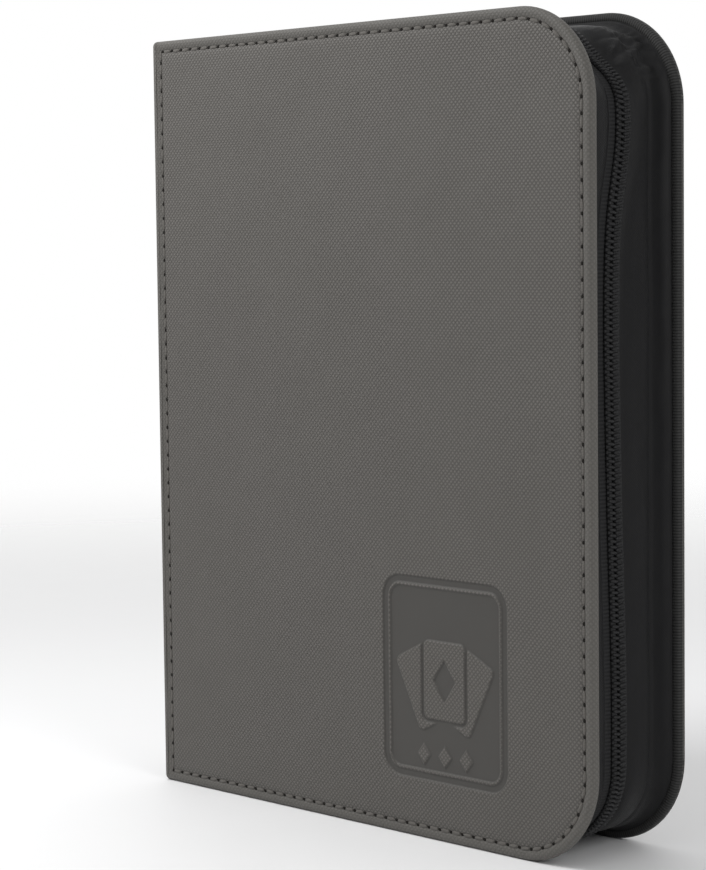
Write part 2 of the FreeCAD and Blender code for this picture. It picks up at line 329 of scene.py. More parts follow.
def bump(tree, height, distance, strength=1.0, normal=None):
    """Small relief, on top of another relief where one is given."""
    n = tree.nodes.new("ShaderNodeBump")
    n.inputs["Strength"].default_value = strength
    n.inputs["Distance"].default_value = distance
    tree.links.new(height, n.inputs["Height"])
    if normal is not None:
        tree.links.new(normal, n.inputs["Normal"])
    return n.outputs["Normal"]


def split(tree, vector):
    """The first two numbers of a vector."""
    n = tree.nodes.new("ShaderNodeSeparateXYZ")
    tree.links.new(vector, n.inputs[0])
    return n.outputs[0], n.outputs[1]


def ridge(tree, value, pitch, phase=0.0):
    """A triangle wave from 0 in the grooves to 1 on the ridges."""
    scaled = calc(tree, "MULTIPLY_ADD", value, 1.0 / pitch, phase)
    return calc(tree, "MULTIPLY", calc(tree, "PINGPONG", scaled, 0.5), 2.0)


print("node helpers ready")

# %% [markdown]
# ### Leatherette
#
# The skin is a coated cloth rolled with a diamond grain. Two triangle waves that cross at a slant give the
# diamonds, and the lower of the two makes each one a small pyramid. A Voronoi texture would be too uneven for
# a rolled pattern. The grain is flatter near the stitched rim, where the skin is pulled tight, and gone
# where the emblem is pressed.

# %% Leatherette
GRAIN_PITCH = 1.08 * math.sqrt(2)


def leatherette():
    """Warm grey leatherette with a diamond grain, smooth where it is pressed."""
    material, tree, shader = new_material("leatherette")
    cloth = attribute(tree, "cloth").outputs["Vector"]
    x, z = split(tree, cloth)
    wobble = calc(tree, "MULTIPLY", calc(tree, "SUBTRACT", noise(tree, cloth, 0.5), 0.5), 0.4)
    rising = ridge(tree, calc(tree, "ADD", calc(tree, "ADD", x, z), wobble), GRAIN_PITCH)
    falling = ridge(tree, calc(tree, "ADD", calc(tree, "SUBTRACT", x, z), wobble), GRAIN_PITCH)
    pyramid = calc(tree, "POWER", calc(tree, "MINIMUM", rising, falling), 0.7)
    press = attribute(tree, "press").outputs["Fac"]
    edge = attribute(tree, "edge").outputs["Fac"]
    inside = calc(tree, "SUBTRACT", calc(tree, "MULTIPLY", edge, 1.4), 4.0, clamp=True)
    unpressed = calc(tree, "SUBTRACT", 1.0, press)
    relief = calc(tree, "MULTIPLY", calc(tree, "MULTIPLY_ADD", inside, 0.25, 0.75), unpressed)
    grain = calc(tree, "MULTIPLY", pyramid, relief)
    fine = noise(tree, cloth, 5.0, 4.0, 0.6)
    cloudy = noise(tree, cloth, 0.035, 2.0)
    low = mix(tree, cloudy, (0.046, 0.043, 0.039), (0.053, 0.050, 0.046))
    high = mix(tree, cloudy, (0.143, 0.134, 0.123), (0.160, 0.150, 0.138))
    shade = calc(tree, "MULTIPLY_ADD", grain, 0.85, calc(tree, "MULTIPLY", fine, 0.15))
    colour = mix(tree, shade, low, high)
    # The rolled rim outside the stitches is mixed toward a lighter colour: partly rubbed, flatter skin and
    # partly a painted highlight along the rounded edge.
    worn_and_highlight = mix(tree, fine, (0.114, 0.109, 0.099), (0.132, 0.127, 0.116))
    colour = mix(tree, calc(tree, "MULTIPLY_ADD", inside, -0.4, 0.4), colour, worn_and_highlight)
    smooth = mix(tree, fine, (0.055, 0.052, 0.048), (0.065, 0.062, 0.057))
    colour = mix(tree, press, colour, smooth)
    tree.links.new(colour, shader.inputs["Base Color"])
    rough = calc(tree, "MULTIPLY_ADD", fine, 0.16, 0.52)
    tree.links.new(calc(tree, "MULTIPLY_ADD", press, -0.06, rough), shader.inputs["Roughness"])
    shader.inputs["Specular IOR Level"].default_value = 0.35
    height = calc(tree, "MULTIPLY_ADD", fine, 0.12, grain)
    normal = bump(tree, height, 0.20 * MM, 0.9)
    tree.links.new(bump(tree, cloudy, 2.5 * MM, 0.25, normal), shader.inputs["Normal"])
    return material


LEATHER = leatherette()
print("made", LEATHER.name)

# %% [markdown]
# ### Fabrics
#
# Gusset, zip tape, lining and thread are woven. Modelling threads would cost millions of faces, so a weave
# is the difference of two triangle waves, and a ribbed tape has one wave across its length. A little sheen
# stands for the fuzz of the fibres.

# %% Fabrics
def woven(name, dark, light, pitch, rib=None, roughness=0.6, sheen=0.05, depth=0.10, gloss=0.2):
    """A black fabric: a fine plain weave, or ribs across its length where rib is given."""
    material, tree, shader = new_material(name)
    cloth = attribute(tree, "cloth").outputs["Vector"]
    x, z = split(tree, cloth)
    if rib:
        across = calc(tree, "MULTIPLY_ADD", ridge(tree, z, pitch), 0.3, 0.7)
        pattern = calc(tree, "MULTIPLY", ridge(tree, x, rib), across)
    else:
        warp, weft = ridge(tree, x, pitch), ridge(tree, z, pitch)
        pattern = calc(tree, "ABSOLUTE", calc(tree, "SUBTRACT", warp, weft))
    fuzz = noise(tree, cloth, 3.0, 5.0, 0.65)
    shade = calc(tree, "MULTIPLY_ADD", pattern, 0.7, calc(tree, "MULTIPLY", fuzz, 0.3))
    tree.links.new(mix(tree, shade, dark, light), shader.inputs["Base Color"])
    tree.links.new(calc(tree, "MULTIPLY_ADD", fuzz, 0.2, roughness - 0.1), shader.inputs["Roughness"])
    shader.inputs["Sheen Weight"].default_value = sheen
    shader.inputs["Sheen Roughness"].default_value = 0.4
    shader.inputs["Specular IOR Level"].default_value = gloss
    folds = noise(tree, cloth, 0.05, 2.0)
    normal = bump(tree, calc(tree, "MULTIPLY_ADD", fuzz, 0.25, pattern), depth * MM, 0.8)
    tree.links.new(bump(tree, folds, 3.0 * MM, 0.35, normal), shader.inputs["Normal"])
    return material


SATIN = woven(
    "gusset_satin", (0.0018, 0.0018, 0.0021), (0.0078, 0.0078, 0.0086), 0.75,
    roughness=0.48, sheen=0.03, depth=0.06, gloss=0.22,
)
TAPE = woven(
    "zip_tape_weave", (0.005, 0.005, 0.0055), (0.030, 0.030, 0.031), 0.6,
    rib=1.1, roughness=0.7, depth=0.05,
)
RIBBON = woven(
    "binding_ribbon", (0.004, 0.004, 0.004), (0.055, 0.055, 0.054), 1.7,
    rib=0.85, roughness=0.7, depth=0.2,
)
LINING = woven(
    "lining_weave", (0.006, 0.006, 0.007), (0.020, 0.020, 0.022), 0.55, roughness=0.75, depth=0.08
)
THREAD = woven(
    "thread", (0.085, 0.080, 0.073), (0.160, 0.150, 0.138), 0.25, rib=0.45, roughness=0.7
)
print("fabrics", [m.name for m in (SATIN, TAPE, RIBBON, LINING, THREAD)])

# %% [markdown]
# ### Plastics, metal and board
#
# The coil, the slider, the binding comb and the leaves are moulded, cast or rolled, and have only a fine
# mottle. One function makes them all, with a fine speckle for the roughness and a broad one for the colour.

# %% Plastics, metal and board
def moulded(name, dark, light, roughness, scale, distance=0.03, metallic=0.0, alpha=1.0, gloss=0.5):
    """A moulded or coated surface with a fine mottled finish, read from the piece's own coordinates."""
    material, tree, shader = new_material(name)
    coordinates = tree.nodes.new("ShaderNodeTexCoord").outputs["Object"]
    speckle = noise(tree, coordinates, scale, 4.0, 0.6)
    broad = noise(tree, coordinates, scale / 12, 2.0)
    tree.links.new(mix(tree, broad, dark, light), shader.inputs["Base Color"])
    tree.links.new(calc(tree, "MULTIPLY_ADD", speckle, 0.2, roughness - 0.1), shader.inputs["Roughness"])
    tree.links.new(bump(tree, speckle, distance * MM, 0.6), shader.inputs["Normal"])
    shader.inputs["Metallic"].default_value = metallic
    shader.inputs["Specular IOR Level"].default_value = gloss
    shader.inputs["Alpha"].default_value = alpha
    return material


# The needle-hole material is painted shade: a near-black ball stands for the shade inside each needle hole.
HOLE_SHADE = moulded("needle_hole_shade", (0.014, 0.013, 0.012), (0.024, 0.022, 0.020), 0.9, 4000, gloss=0.05)
COIL = moulded(
    "coil_nylon", (0.0095, 0.0095, 0.010), (0.0155, 0.0155, 0.0165), 0.50, 1800, 0.02, gloss=0.26
)
METAL = moulded(
    "black_metal", (0.014, 0.014, 0.015), (0.026, 0.026, 0.028), 0.34, 2500, 0.01, metallic=0.6
)
SHEET = moulded("page_sheet", (0.010, 0.010, 0.011), (0.016, 0.016, 0.017), 0.5, 2200)
FILM = moulded("clear_film", (0.80, 0.82, 0.84), (0.90, 0.91, 0.92), 0.16, 150, 0.02, alpha=0.14)
WELD = moulded("film_weld", (0.020, 0.020, 0.022), (0.035, 0.035, 0.037), 0.3, 1500, 0.06)
BINDING = moulded("binding_plastic", (0.010, 0.010, 0.011), (0.018, 0.018, 0.019), 0.5, 900, 0.04)
BOARD = moulded("grey_board", (0.30, 0.26, 0.21), (0.38, 0.33, 0.27), 0.9, 700, 0.05)
FOAM = moulded("padding_foam", (0.10, 0.10, 0.10), (0.15, 0.15, 0.15), 0.95, 1500, 0.10)
print("materials", len(bpy.data.materials))

# %% [markdown]
# ## The covers
#
# One cover is a padded board wrapped in leatherette. Its rim rolls round from the inside and dips at the
# stitch line, and the padding swells again behind it. A bevelled slab would have an even roll and no dip, so
# the rim is a drawn profile swept round the cover. Each station holds the inset on the three open sides, the
# inset on the spine side, and the depth, all in millimetres.

# %% Cover profile
RIM = [
    (9.0, 8.0, 3.35), (8.0, 7.0, 3.45), (4.0, 4.2, 3.58), (2.2, 2.9, 3.60), (1.1, 2.75, 3.50),
    (0.45, 2.6, 3.10), (0.10, 2.2, 2.45), (0.0, 1.4, 1.80), (0.08, 0.4, 1.15), (0.32, 0.06, 0.62),
    (0.70, 0.02, 0.27), (1.2, 0.01, 0.07), (1.7, 0.03, 0.0), (2.2, 0.30, 0.03), (2.65, 0.85, 0.15),
    (3.0, 1.40, 0.33), (3.25, 1.80, 0.49), (3.5, 2.10, 0.55), (3.75, 2.40, 0.49), (4.1, 2.80, 0.30),
    (4.7, 3.40, 0.13), (5.8, 4.50, 0.05), (8.0, 6.50, 0.01), (12.0, 10.5, 0.0),
]
EMBLEM_CENTRE = (36 * MM, 47.5 * MM)
EMBLEM_SIZE = (54 * MM, 64 * MM)
EMBLEM_STEPS = (190, 226)
PRESS_DEPTH = 0.42 * MM


def unrolled(column):
    """For each rim station, the inset it would have if the skin were laid flat."""
    rim = np.array(RIM)
    lengths = np.hypot(np.diff(rim[:, column]), np.diff(rim[:, 2]))
    return rim[-1, column] - np.concatenate([np.cumsum(lengths[::-1])[::-1], [0.0]])


FLAT_INSET, FLAT_SPINE = unrolled(0), unrolled(1)
print("rim stations", len(RIM), "width of the turned skin in mm", round(RIM[-1][0] - FLAT_INSET[0], 1))

# %% [markdown]
# ### The pressed emblem
#
# A hot tool presses a mark into the skin, which leaves it smooth and sunk. A texture could fake it, but a
# real dip catches the light along its edge. So a fine grid fills that part of the cover, and each of its
# vertices is pushed in by a drawn shape: the distance to a few rounded boxes and diamonds.

# %% The pressed emblem
TILE = (25.0, 30.0, 7.0)
FRAME_LINE = (2.6, 0.45)
CARD = (8.2, 11.6, 1.8)
CARD_TILTS = (26, -26, 0)
CARD_RISE = 17.0
CARD_GUTTER = 1.1
PIP = (4.4, 6.2)
SMALL_PIP = (2.6, 3.2)
SMALL_PIP_OFFSETS = (-8.5, 0.0, 8.5)
SMALL_PIP_DROP = 22.3


def rounded_box(x, z, half_width, half_height, radius):
    """Signed distance to a rounded rectangle, negative inside."""
    dx = np.abs(x) - (half_width - radius)
    dz = np.abs(z) - (half_height - radius)
    outside = np.hypot(np.maximum(dx, 0), np.maximum(dz, 0))
    return outside + np.minimum(np.maximum(dx, dz), 0) - radius


def turned(x, z, degrees, pivot):
    """Turns points about a pivot."""
    a = math.radians(degrees)
    dx, dz = x - pivot[0], z - pivot[1]
    return dx * math.cos(a) - dz * math.sin(a), dx * math.sin(a) + dz * math.cos(a)


def soft(distance, width=0.22):
    """1 well inside a shape and 0 well outside."""
    return np.clip(0.5 - distance / (2 * width), 0, 1)


def emblem(x, z):
    """How far each point is pressed in, from 0 to 1: a card-shaped tile with a fan of three cards on it."""
    tile = rounded_box(x, z, *TILE)
    raised = soft(np.abs(tile + FRAME_LINE[0]) - FRAME_LINE[1])
    cards = []
    for degrees in CARD_TILTS:
        cx, cz = turned(x, z, degrees, (0.0, -CARD_RISE))
        cards.append(rounded_box(cx, cz - CARD_RISE, *CARD))
    side = np.minimum(cards[0], cards[1])
    raised = np.maximum(raised, soft(side) * (1 - soft(cards[2] - CARD_GUTTER)))
    raised = np.maximum(raised, soft(cards[2]))
    pip = (np.abs(x) / PIP[0] + np.abs(z) / PIP[1] - 1) * 3.6
    raised = raised * (1 - soft(pip))
    for offset in SMALL_PIP_OFFSETS:
        small = (np.abs(x - offset) / SMALL_PIP[0] + np.abs(z + SMALL_PIP_DROP) / SMALL_PIP[1] - 1) * 2.0
        raised = np.maximum(raised, soft(small))
    return np.clip(soft(tile) - raised, 0, 1)


print("pressed at the tile's middle and beside a card", emblem(np.array([0.0, 20.0]), np.array([0.0, 22.0])))


# %% Build both covers
def cover(name, near_side, with_emblem):
    """A cover's leatherette skin; near_side is true for the front cover."""
    def at(x, depth, z):
        return Vector((x, FRONT + depth if near_side else BACK - depth, z))

    rings = [ring(s * MM, g * MM) for s, g, _ in RIM]
    flats = [ring(s * MM, g * MM) * 1000 for s, g in zip(FLAT_INSET, FLAT_SPINE)]

    def place(i, j):
        x, z = rings[j][i]
        inset, _, depth = RIM[j]
        slack = 0.13 * math.exp(-(((inset - 2.2) / 1.3) ** 2)) if depth < 1 else 0.0
        give = slack * (1 + fractal(Vector((x * 95, 5.0 if near_side else 9.0, z * 95))))
        return at(x, (depth + max(0.0, give)) * MM, z)

    def cloth(i, j):
        return Vector((flats[j][i][0], flats[j][i][1], 0.0))

    bm, layers, inner, face_edge = sweep(
        len(rings[0]), len(RIM), place, cloth, closed=True, edge=lambda j: RIM[j][0]
    )
    bmesh.ops.triangle_fill(bm, edges=inner, use_beauty=True, normal=at(0, 1, 0) - at(0, 0, 0))
    borders = list(face_edge)
    if with_emblem:
        centre = at(EMBLEM_CENTRE[0], 0, EMBLEM_CENTRE[1])
        scale = Matrix.Diagonal((EMBLEM_SIZE[0], EMBLEM_SIZE[1], 1, 1))
        upright = Matrix.Translation(centre) @ Matrix.Rotation(math.pi / 2, 4, "X") @ scale
        grid = bmesh.ops.create_grid(
            bm, x_segments=EMBLEM_STEPS[0], y_segments=EMBLEM_STEPS[1], size=0.5, matrix=upright
        )["verts"]
        borders += [e for e in {e for v in grid for e in v.link_edges} if e.is_boundary]
        x = np.array([v.co.x for v in grid]) * 1000
        z = np.array([v.co.z for v in grid]) * 1000
        amount = emblem(x - EMBLEM_CENTRE[0] * 1000, z - EMBLEM_CENTRE[1] * 1000)
        for v, vx, vz, p in zip(grid, x, z, amount):
            v[layers["cloth"]] = Vector((vx, vz, 0.0))
            v[layers["edge"]] = WELL_INSIDE
            v[layers["press"]] = p
            v.co.y += p * PRESS_DEPTH
    bmesh.ops.triangle_fill(bm, edges=borders, use_beauty=True, normal=at(0, 0, 0) - at(0, 1, 0))
    return made(bm, name, LEATHER)


for body, near_side in (("front_cover", True), ("back_cover", False)):
    leather = cover(body + "_leather", near_side, with_emblem=near_side)
    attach(leather, body)
    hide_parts(body + "_skin")
    print(leather.name, "faces", len(leather.data.polygons))

# %% [markdown]
# ## Stitching
#
# A lockstitch reads as short threads with a needle hole between each two. A dashed line in the material
# would stay flat, so each thread is a small flattened ball, sunk in the groove that the cover's profile
# leaves for it, and each needle hole is a near-black flattened ball, a painted shade for the hole's recess.
# Each thread is turned a little differently, as a sewn row is never quite even.

# %% Stitch both covers
STITCH_INSET = 3.5
STITCH_SPINE_INSET = 2.1
STITCH_PITCH = 4.5
THREAD_SIZE = (1.78 * MM, 0.32 * MM, 0.56 * MM, 1)
THREAD_DEPTH = 0.42 * MM
THREAD_SLANT = math.radians(4)
HOLE_SIZE = (0.60 * MM, 0.22 * MM, 0.56 * MM, 1)
HOLE_DEPTH = 0.50 * MM


def stitching(name, near_side, body):
    """The threads of one cover, and the painted shade of its needle holes."""
    line = ring(STITCH_INSET * MM, STITCH_SPINE_INSET * MM, step=1 * MM)
    run, total = run_of(line)
    count = round(total / (STITCH_PITCH * MM))
    bm, layers = new_mesh()
    holes = []
    towards = 1 if near_side else -1
    outer = FRONT if near_side else BACK
    for k in range(count):
        s = (k + 0.5) * total / count
        i = int(np.searchsorted(run, s) - 1)
        a, b = line[i], line[(i + 1) % len(line)]
        t = (s - run[i]) / max(np.linalg.norm(b - a), 1e-9)
        x, z = a + (b - a) * t
        slant = THREAD_SLANT * math.sin(k * 12.9898)
        along = Matrix.Rotation(math.atan2(b[1] - a[1], b[0] - a[0]) + slant, 4, Vector((0, -1, 0)))
        middle = Matrix.Translation((x, outer + towards * THREAD_DEPTH, z))
        ball = bmesh.ops.create_uvsphere(
            bm, u_segments=8, v_segments=6, radius=1, matrix=middle @ along @ Matrix.Diagonal(THREAD_SIZE)
        )
        for v in ball["verts"]:
            local = (middle @ along).inverted() @ v.co
            v[layers["cloth"]] = Vector((local.x * 1000, local.z * 1000 + k, 0))
        direction = Vector((b[0] - a[0], 0, b[1] - a[1])).normalized()
        hole = Vector((x, outer + towards * HOLE_DEPTH, z)) + direction * total / count / 2
        holes.append((hole, along))
    threads = made(bm, name, THREAD)
    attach(threads, body)
    # Painted shade: a near-black flattened ball at each needle hole.
    bm, _ = new_mesh()
    for hole, along in holes:
        matrix = Matrix.Translation(hole) @ along @ Matrix.Diagonal(HOLE_SIZE)
        bmesh.ops.create_uvsphere(bm, u_segments=8, v_segments=4, radius=1, matrix=matrix)
    dark = made(bm, name + "_hole_shade", HOLE_SHADE)
    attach(dark, body)
    return count


print("stitches on the front cover", stitching("front_stitching", True, "front_cover"))
print("stitches on the back cover", stitching("back_stitching", False, "back_cover"))

# %% [markdown]
# ## Linings
#
# Inside each cover a woven lining is stretched over the board and tucked under the turned hem. A plane would
# do for the middle, but the rim of the cloth dips under the hem, so a few rings make that slope and flat
# triangles close the middle. It is a sheet of cloth, and the size that it was cut to is printed.

# %% Line both covers
HEM = 8.0
LINING_STATIONS = [(8.2, 3.52), (8.6, 3.56), (9.4, 3.60), (11.0, 3.60), (14.0, 3.60)]


def cover_lining(name, near_side, body, node):
    """The cloth inside one cover."""
    board_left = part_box(node)[0].x

    def place(i, j):
        inset, depth = LINING_STATIONS[j]
        x, z = ring(inset * MM, (inset - HEM) * MM, left=board_left)[i]
        return Vector((x, FRONT + depth * MM if near_side else BACK - depth * MM, z))

    def cloth(i, j):
        point = place(i, j)
        return Vector((point.x * 1000, point.z * 1000, 0))

    count = len(ring(HEM * MM, 0, left=board_left))
    bm, *_, last = sweep(count, len(LINING_STATIONS), place, cloth, closed=True)
    inwards = Vector((0, 1 if near_side else -1, 0))
    bmesh.ops.triangle_fill(bm, edges=last, use_beauty=True, normal=inwards)
    for face in bm.faces:
        if face.normal.dot(inwards) < 0:
            face.normal_flip()
    area = sum(face.calc_area() for face in bm.faces)
    obj = made(bm, name, LINING, outward=False)
    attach(obj, body)
    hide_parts(node)
    size = (RIGHT - HEM * MM - board_left, TOP - 2 * HEM * MM)
    area = min(area, size[0] * size[1])
    print(name, "cut to", [round(1000 * v, 1) for v in size], "mm")


cover_lining("front_inside_lining", True, "front_cover", "front_cover_lining")
cover_lining("back_inside_lining", False, "back_cover", "back_cover_lining")

# %% [markdown]
# ## Spine and creases
#
# The spine is a flat panel of the same skin, with a woven lining inside. A bevelled slab is all it needs, and
# its grain reads two of the slab's own axes.

# %% Spine panel
def box_piece(name, low, high, bevel, material, axes):
    """A bevelled slab whose cloth attribute is read from two of its own axes."""
    bm, layers = new_mesh()
    size, centre = Vector(high) - Vector(low), (Vector(high) + Vector(low)) / 2
    bmesh.ops.create_cube(bm, size=1, matrix=Matrix.Translation(centre) @ Matrix.Diagonal((*size, 1)))
    bmesh.ops.bevel(bm, geom=bm.edges[:], offset=bevel, affect="EDGES", segments=3, profile=0.5, material=-1)
    for v in bm.verts:
        v[layers["cloth"]] = Vector((v.co[axes[0]] * 1000, v.co[axes[1]] * 1000, 0))
        v[layers["edge"]] = WELL_INSIDE
    return made(bm, name, material)


spine_low, spine_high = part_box("spine_skin")
outer_high = (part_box("spine_board")[1].x, spine_high.y, spine_high.z)
spine = box_piece("spine_leather", spine_low, outer_high, 0.5 * MM, LEATHER, (1, 2))
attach(spine, "spine")
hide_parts("spine_skin", "spine_board")
low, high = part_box("spine_lining")
spine_inside = box_piece("spine_inside_lining", low, high, 0.15 * MM, LINING, (1, 2))
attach(spine_inside, "spine")
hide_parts("spine_lining")
print("spine height in mm", round(1000 * (spine_high.z - spine_low.z), 1))

# %% [markdown]
# ### Creases
#
# The skin runs on from the spine to each cover and folds there when the binder opens. Outside it is a
# quarter turn about the hinge's axis, and inside a slack bow of lining.

# %% Crease strips
RIM_END = [(s, d) for s, _, d in RIM[7:13]]
CREASE_THICKNESS = 0.5 * MM
CREASE_TUCK = 0.32 * MM


def crease(name, hinge, near_side, node):
    """The outer skin round one crease: a quarter turn about the hinge's axis, rolled in at its two ends."""
    outward = -1 if near_side else 1
    radius = hinge.x - LEFT
    rows = [(s * MM, d * MM) for s, d in RIM_END]
    rows += [(z, 0.0) for z in spread(4 * MM, TOP - 4 * MM, 4 * MM, closed=True)]
    rows += [(TOP - s * MM, d * MM) for s, d in reversed(RIM_END)]
    stations = [(-1.0, 0.0, 0.0, -outward * CREASE_TUCK)]
    stations += [(-math.cos(a), outward * math.sin(a), 0.0, 0.0) for a in np.linspace(0, math.pi / 2, 9)]
    stations.append((0.0, outward, CREASE_TUCK, 0.0))

    def place(i, j):
        z, sunk = rows[i]
        ux, uy, ox, oy = stations[j]
        r = radius - sunk
        return Vector((hinge.x + r * ux + ox, hinge.y + r * uy + oy, z))

    def cloth(i, j):
        return Vector((hinge.x * 1000 - (len(stations) - 1 - j) * radius * 175, rows[i][0] * 1000, 0))

    bm, *_ = sweep(len(rows), len(stations), place, cloth, edge=lambda j: 3.0)
    for face in bm.faces:
        centre = face.calc_center_median()
        if face.normal.dot(centre - Vector((hinge.x, hinge.y, centre.z))) < 0:
            face.normal_flip()
    bmesh.ops.solidify(bm, geom=bm.faces[:], thickness=CREASE_THICKNESS)
    skin = made(bm, name, LEATHER)
    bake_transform(skin)
    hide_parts(node)
    print(name, "radius in mm", round(1000 * radius, 2))


crease("front_crease_leather", FRONT_HINGE, True, "front_hinge_tape")
crease("back_crease_leather", BACK_HINGE, False, "back_hinge_tape")


# %% Inner crease linings
INNER_STATIONS = 9


def inner_crease(name, hinge, near_side):
    """The lining that crosses one crease on the inside."""
    side = 1 if near_side else -1
    heights = spread(2 * MM, TOP - 2 * MM, 6 * MM, closed=True)
    begin = Vector((spine_high.x + 0.02 * MM, hinge.y + side * 4.0 * MM, 0))
    stop = Vector((hinge.x + 6.5 * MM, hinge.y + side * 1.12 * MM, 0))
    bend = Vector((hinge.x + 2.2 * MM, hinge.y + side * 2.2 * MM, 0))

    def place(i, j):
        t = j / (INNER_STATIONS - 1)
        point = begin * (1 - t) ** 2 + bend * 2 * t * (1 - t) + stop * t * t
        return Vector((point.x, point.y, heights[i]))

    def cloth(i, j):
        return Vector((j * 0.8, heights[i] * 1000, 0))

    bm, *_ = sweep(len(heights), INNER_STATIONS, place, cloth)
    bmesh.ops.recalc_face_normals(bm, faces=bm.faces)
    bmesh.ops.solidify(bm, geom=bm.faces[:], thickness=0.3 * MM)
    lining = made(bm, name, LINING)
    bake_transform(lining)
    print(name, "spans in mm", round(1000 * (stop - begin).length, 1))


inner_crease("front_crease_lining", FRONT_HINGE, True)
inner_crease("back_crease_lining", BACK_HINGE, False)

# %% [markdown]
# ## Gusset and zip tapes
#
# A narrow strip of satin joins the front cover to the zip, and a wide one joins the zip to the back cover.
# The zip isn't perfectly straight: it comes forward half-way up the fore edge and swings towards the back
# cover at the top corner. `wander` is that drift, and the gusset strips, tapes and coil share it. A cloth
# simulation would find folds of its own, but not these, and so the drift is drawn.

# %% The zip's drift
DRIFT_HEIGHTS = [0.0, 0.027, 0.047, 0.067, 0.095, 0.123, 0.145, 0.162, 0.178, 0.189, 0.200, 0.213]
DRIFT_DEPTHS = [0.0, 0.2, 0.4, -0.1, -1.2, -1.9, -2.4, -2.3, -1.6, 0.2, 3.0, 3.4]
PUCKER = 5.0 * MM


def wander(row):
    """The zip's drift from its straight line, in metres, at one row of a rail."""
    bx, bz, nx, nz = row[:4]
    if bx <= RIGHT - CORNER:
        return 0.0
    drift = float(np.interp(bz, DRIFT_HEIGHTS, DRIFT_DEPTHS)) * MM
    share = 1.0 if nz == 0 else max(0.0, min(1.0, nx))
    return drift * share * share * (3 - 2 * share)


def corner_share(row):
    """1 in the middle of the top fore corner, falling to 0 at both its ends."""
    if row[2] <= 0 or row[3] <= 0:
        return 0.0
    return math.sin(2 * math.atan2(row[3], row[2])) ** 1.6


def smoothed(rows, values, reach=7 * MM):
    """Values along a rail, rounded off so that the zip has no kinks."""
    run = rows[:, 4]
    weights = np.exp(-(((run[:, None] - run[None, :]) / reach) ** 2))
    return (weights @ np.array(values)) / weights.sum(1)


def zip_path(rows):
    """The zip's drift in depth and its extra inset, row by row."""
    drift = smoothed(rows, [wander(row) for row in rows])
    gather = smoothed(rows, [PUCKER * corner_share(row) for row in rows], 6 * MM)
    return drift, gather


print("drift of the zip in mm, from", min(DRIFT_DEPTHS), "to", max(DRIFT_DEPTHS))

# %% [markdown]
# ### A strip of cloth round the open edges
#
# Each strip is a short profile swept round the rail. Its folds are noise that moves the vertices, most in
# the middle of the strip and at the top fore corner, where the real gusset has too much cloth and gathers
# against the coil. Each strip's flat size is printed.

# %% Strips along the rail
GATHER_PITCH = 3.4
CLOTH_THICKNESS = 0.35 * MM


def finer(stations, step=1.6):
    """Adds stations along long straight stretches, so that the cloth can crumple there."""
    result = [stations[0]]
    for first, second in zip(stations, stations[1:]):
        a, b = np.array(first, float), np.array(second, float)
        length = math.hypot(b[0] - a[0], (b[1] - a[1]) * 1000)
        for t in np.linspace(0, 1, max(1, math.ceil(length / step)) + 1)[1:]:
            result.append(tuple(a + (b - a) * t))
    return result


def strip(name, start_x, stations, material, thickness, body, nodes, crumple=0.0):
    """A band round the three open edges. Each station is (inset in mm, depth, share of the zip's path)."""
    rows = rail(start_x, 2 * MM)
    drift, gather = zip_path(rows)
    corner = [corner_share(row) for row in rows]
    if crumple:
        stations = finer(stations)
    lengths = [0.0]
    for (i0, d0, _), (i1, d1, _) in zip(stations, stations[1:]):
        lengths.append(lengths[-1] + math.hypot(i1 - i0, (d1 - d0) * 1000))
    total = lengths[-1]

    def place(i, j):
        inset, depth, share = stations[j]
        run = rows[i][4] * 1000
        fold = crumple * math.sin(math.pi * lengths[j] / total) ** 0.7
        slow = fractal(Vector((run * 0.035, lengths[j] * 0.09, 3.0)))
        quick = fractal(Vector((run * 0.16, lengths[j] * 0.24, 7.0)))
        tuck = lengths[j] / total
        gathers = 0.9 * tuck * tuck * math.sin(2 * math.pi * run / GATHER_PITCH + 5 * slow)
        lift = fold * (0.45 * slow + corner[i] * (2.5 * quick + gathers))
        return rail_point(rows[i], (inset - lift) * MM + share * gather[i], depth + share * drift[i])

    def cloth(i, j):
        return Vector((rows[i][4] * 1000, lengths[j], 0))

    bm, *_ = sweep(len(rows), len(stations), place, cloth)
    for face in bm.faces:
        c = face.calc_center_median()
        outward = Vector((max(0.0, c.x - (RIGHT - CORNER)), 0, c.z - min(max(c.z, CORNER), TOP - CORNER)))
        if face.normal.dot(outward) < 0:
            face.normal_flip()
    bmesh.ops.solidify(bm, geom=bm.faces[:], thickness=thickness)
    obj = made(bm, name, material)
    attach(obj, body)
    if nodes:
        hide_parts(*nodes)
    print(name, "flat size in mm", round(1000 * rows[-1, 4], 1), round(total, 2))


# %% Front gusset
gusset_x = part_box("front_gusset")[0].x
strip(
    "front_gusset_cloth", gusset_x,
    [(1.9, COVER + 0.06 * MM, 0), (4.3, COVER + 0.12 * MM, 0), (4.7, COVER + 0.8 * MM, 0.1),
     (4.5, COVER + 3.2 * MM, 0.5), (4.7, FRONT_WALL - 0.5 * MM, 0.95), (5.1, FRONT_WALL + 0.4 * MM, 1),
     (5.45, FRONT_WALL + 1.0 * MM, 1)],
    SATIN, CLOTH_THICKNESS, "front_cover", ["front_gusset"], crumple=0.5,
)

